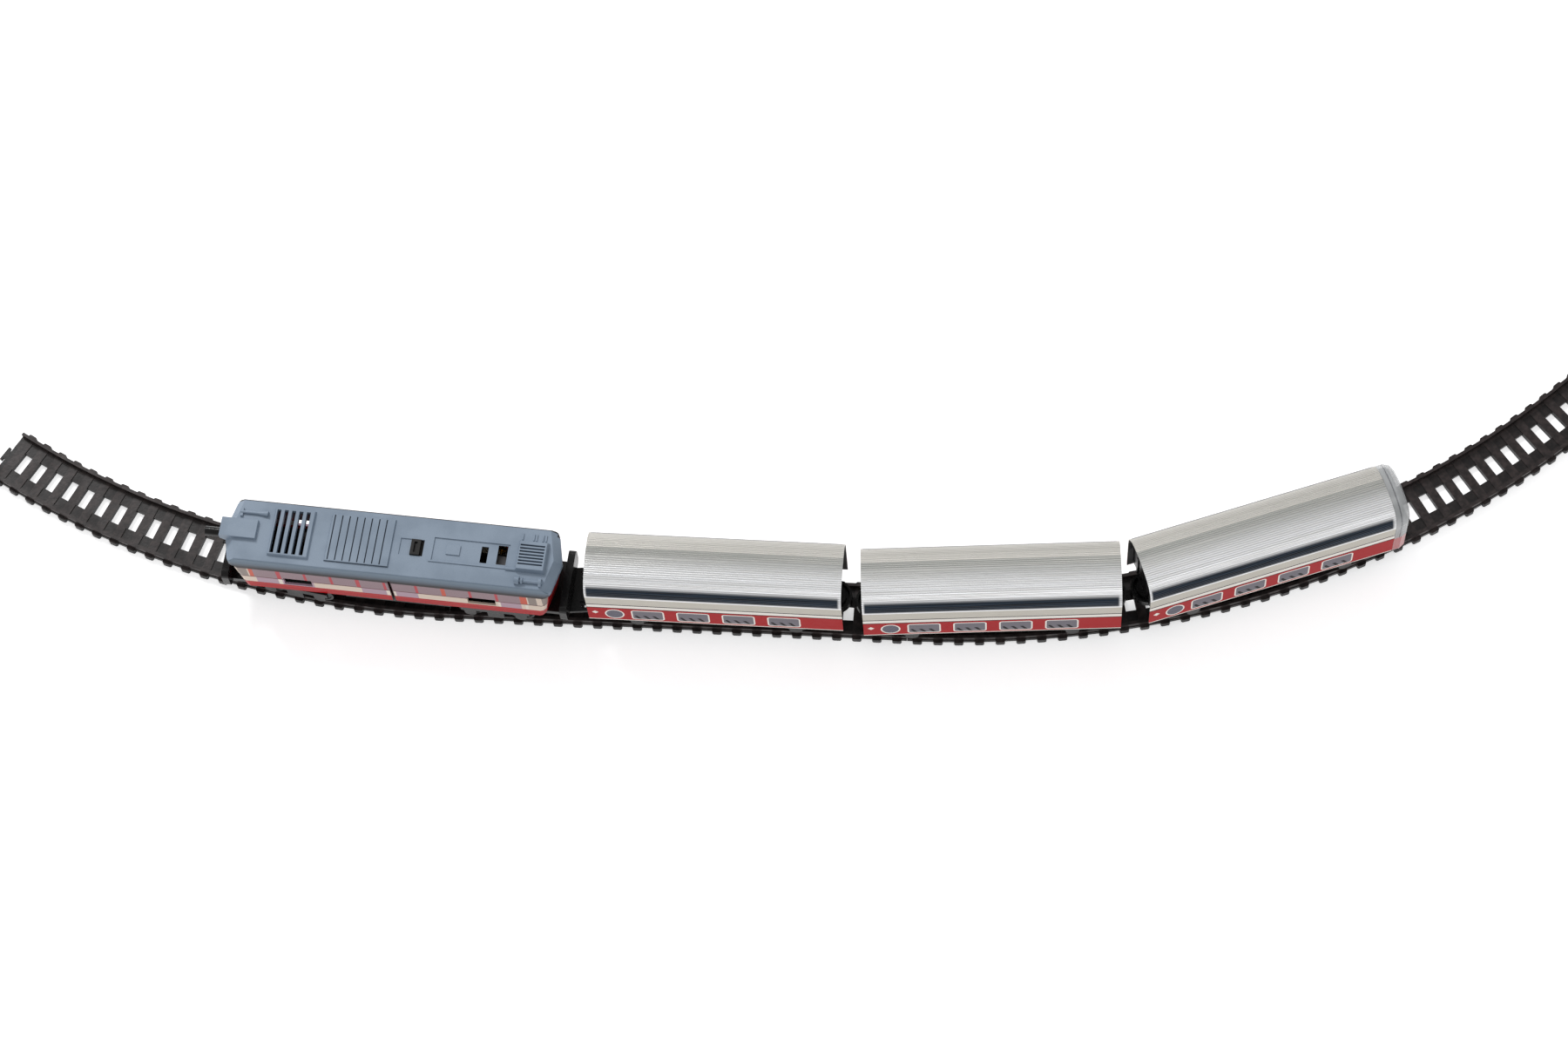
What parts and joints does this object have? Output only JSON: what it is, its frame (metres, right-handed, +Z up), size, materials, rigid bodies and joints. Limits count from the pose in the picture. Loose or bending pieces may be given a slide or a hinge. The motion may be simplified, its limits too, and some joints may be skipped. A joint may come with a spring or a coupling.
{
  "type": "model train",
  "caption": "Battery toy train: two-cab locomotive with a geared drive and three ribbed metal coaches on drawbars, standing on straight and curved snap track.",
  "frame": {"origin": "middle of the straight track section, on the surface that the track lies on", "axes": "+X along the straight section towards the train's tail, +Y across it towards the inside of the curves, +Z up"},
  "size_m": [0.9124, 0.2681, 0.0555],
  "materials": {
    "track_black": "moulded, satin",
    "chassis_black": "moulded, slightly glossy",
    "body_print": "red with a printed window band",
    "roof_grey": "blue grey, satin",
    "dark_glass": "black, glossy",
    "lens": "clear",
    "steel": "plain",
    "wheel_black": "moulded",
    "tyre": "soft grip ring",
    "gear_white": "natural nylon",
    "brass": "plain",
    "cell_wrap": "plain wrapped cell",
    "knob_black": "fine texture",
    "coach_metal": "ribbed sheet, satin, printed band",
    "cap_smoke": "smoky clear"
  },
  "bodies": {
    "track": {"left_curve_track": "track_black", "straight_track": "track_black", "right_curve_track_1": "track_black", "right_curve_track_2": "track_black"},
    "locomotive": {"loco_chassis": "chassis_black", "front_body_shell": "body_print", "rear_body_shell": "body_print", "loco_roof": "roof_grey", "front_windscreen": "dark_glass", "rear_windscreen": "dark_glass", "headlamp_barrel": "knob_black", "headlamp_lens": "lens", "body_screws": "steel", "motor": "steel", "gear_shafts": "steel", "front_bogie_screw": "steel", "battery_cell": "cell_wrap", "battery_contacts": "steel", "battery_cover": "chassis_black", "switch_contact": "brass"},
    "front_bogie": {"front_bogie_frame": "chassis_black"},
    "bogie_wheelset_1": {"bogie_axle_1": "steel", "bogie_wheels_1": "wheel_black"},
    "bogie_wheelset_2": {"bogie_axle_2": "steel", "bogie_wheels_2": "wheel_black"},
    "front_drive_wheelset": {"front_drive_axle": "steel", "front_drive_wheels": "wheel_black", "front_drive_tyres": "tyre", "front_axle_gear": "gear_white"},
    "rear_drive_wheelset": {"rear_drive_axle": "steel", "rear_drive_wheels": "wheel_black", "rear_drive_tyres": "tyre", "rear_axle_gear": "gear_white"},
    "idler": {"idler_gear": "gear_white"},
    "reduction": {"reduction_gear": "gear_white"},
    "motor_rotor": {"motor_pinion": "brass"},
    "switch": {"switch_slider": "knob_black"},
    "rear_drawbar": {"rear_drawbar": "chassis_black"},
    "coach_1_drawbar": {"coach_1_drawbar": "chassis_black"},
    "coach_2_drawbar": {"coach_2_drawbar": "chassis_black"},
    "coach_1": {"coach_1_shell": "coach_metal", "coach_1_chassis": "chassis_black"},
    "coach_1_front_wheelset": {"coach_1_front_axle": "steel", "coach_1_front_wheels": "wheel_black"},
    "coach_1_rear_wheelset": {"coach_1_rear_axle": "steel", "coach_1_rear_wheels": "wheel_black"},
    "coach_2": {"coach_2_shell": "coach_metal", "coach_2_chassis": "chassis_black"},
    "coach_2_front_wheelset": {"coach_2_front_axle": "steel", "coach_2_front_wheels": "wheel_black"},
    "coach_2_rear_wheelset": {"coach_2_rear_axle": "steel", "coach_2_rear_wheels": "wheel_black"},
    "coach_3": {"coach_3_shell": "coach_metal", "coach_3_chassis": "chassis_black", "coach_3_tail_cap": "cap_smoke"},
    "coach_3_front_wheelset": {"coach_3_front_axle": "steel", "coach_3_front_wheels": "wheel_black"},
    "coach_3_rear_wheelset": {"coach_3_rear_axle": "steel", "coach_3_rear_wheels": "wheel_black"}
  },
  "joints": [
    {"name": "train_lift", "type": "slide", "parent": "track", "child": "locomotive", "axis": [0, 0, 1], "range_m": [0, 0.00015]},
    {"name": "front_bogie_swivel", "type": "hinge", "parent": "locomotive", "child": "front_bogie", "pos_m": [-0.19176, 0.00591, 0.0196], "axis": [0, 0, 1], "range_deg": [-6.36, 17.64]},
    {"name": "bogie_axle_1_spin", "type": "hinge", "parent": "front_bogie", "child": "bogie_wheelset_1", "pos_m": [-0.2046, 0.00794, 0.0128], "axis": [0.1559, 0.9878, 0], "continuous": true},
    {"name": "bogie_axle_2_spin", "type": "hinge", "parent": "front_bogie", "child": "bogie_wheelset_2", "pos_m": [-0.17892, 0.00388, 0.0128], "axis": [0.1559, 0.9878, 0], "continuous": true},
    {"name": "front_drive_spin", "type": "hinge", "parent": "locomotive", "child": "front_drive_wheelset", "pos_m": [-0.10291, 0.00075, 0.0128], "axis": [0.058, 0.9983, 0], "continuous": true},
    {"name": "rear_drive_spin", "type": "hinge", "parent": "locomotive", "child": "rear_drive_wheelset", "pos_m": [-0.07695, -0.00076, 0.0128], "axis": [0.058, 0.9983, 0], "continuous": true},
    {"name": "idler_spin", "type": "hinge", "parent": "locomotive", "child": "idler", "pos_m": [-0.08955, 0.00649, 0.02213], "axis": [0.058, 0.9983, 0], "continuous": true},
    {"name": "reduction_spin", "type": "hinge", "parent": "locomotive", "child": "reduction", "pos_m": [-0.0972, 0.00843, 0.03319], "axis": [0.058, 0.9983, 0], "continuous": true},
    {"name": "motor_spin", "type": "hinge", "parent": "locomotive", "child": "motor_rotor", "pos_m": [-0.08782, 0.00789, 0.03661], "axis": [0.058, 0.9983, 0], "continuous": true},
    {"name": "switch_slide", "type": "slide", "parent": "locomotive", "child": "switch", "axis": [0.9983, -0.058, 0], "range_m": [0, 0.0016]},
    {"name": "rear_drawbar_swing", "type": "hinge", "parent": "locomotive", "child": "rear_drawbar", "pos_m": [-0.05699, -0.00192, 0.0144], "axis": [0, 0, 1], "range_deg": [-21.09, 2.91]},
    {"name": "coach_1_swing", "type": "hinge", "parent": "rear_drawbar", "child": "coach_1", "pos_m": [-0.038, 0, 0.0144], "axis": [0, 0, 1], "range_deg": [-6.23, 17.77]},
    {"name": "coach_1_drawbar_swing", "type": "hinge", "parent": "coach_1", "child": "coach_1_drawbar", "pos_m": [0.08, 0, 0.0144], "axis": [0, 0, 1], "range_deg": [-7.09, 16.91]},
    {"name": "coach_2_swing", "type": "hinge", "parent": "coach_1_drawbar", "child": "coach_2", "pos_m": [0.09902, -0.00164, 0.0144], "axis": [0, 0, 1], "range_deg": [-21.85, 2.15]},
    {"name": "coach_2_drawbar_swing", "type": "hinge", "parent": "coach_2", "child": "coach_2_drawbar", "pos_m": [0.21659, 0.00852, 0.0144], "axis": [0, 0, 1], "range_deg": [-20.12, 3.88]},
    {"name": "coach_3_swing", "type": "hinge", "parent": "coach_2_drawbar", "child": "coach_3", "pos_m": [0.23535, 0.01287, 0.0144], "axis": [0, 0, 1], "range_deg": [-20.12, 3.88]},
    {"name": "coach_1_front_spin", "type": "hinge", "parent": "coach_1", "child": "coach_1_front_wheelset", "pos_m": [-0.019, 0, 0.0123], "axis": [0, 1, 0], "continuous": true},
    {"name": "coach_1_rear_spin", "type": "hinge", "parent": "coach_1", "child": "coach_1_rear_wheelset", "pos_m": [0.061, 0, 0.0123], "axis": [0, 1, 0], "continuous": true},
    {"name": "coach_2_front_spin", "type": "hinge", "parent": "coach_2", "child": "coach_2_front_wheelset", "pos_m": [0.11795, 0, 0.0123], "axis": [-0.086, 0.9963, 0], "continuous": true},
    {"name": "coach_2_rear_spin", "type": "hinge", "parent": "coach_2", "child": "coach_2_rear_wheelset", "pos_m": [0.19766, 0.00688, 0.0123], "axis": [-0.086, 0.9963, 0], "continuous": true},
    {"name": "coach_3_front_spin", "type": "hinge", "parent": "coach_3", "child": "coach_3_front_wheelset", "pos_m": [0.25306, 0.01973, 0.0123], "axis": [-0.3613, 0.9324, 0], "continuous": true},
    {"name": "coach_3_rear_spin", "type": "hinge", "parent": "coach_3", "child": "coach_3_rear_wheelset", "pos_m": [0.32766, 0.04864, 0.0123], "axis": [-0.3613, 0.9324, 0], "continuous": true}
  ],
  "couplings": [
    {"joint": "rear_drive_spin", "follows": "front_drive_spin", "ratio": 1},
    {"joint": "idler_spin", "follows": "front_drive_spin", "ratio": -0.45455},
    {"joint": "reduction_spin", "follows": "front_drive_spin", "ratio": 2},
    {"joint": "motor_spin", "follows": "front_drive_spin", "ratio": -8}
  ]
}
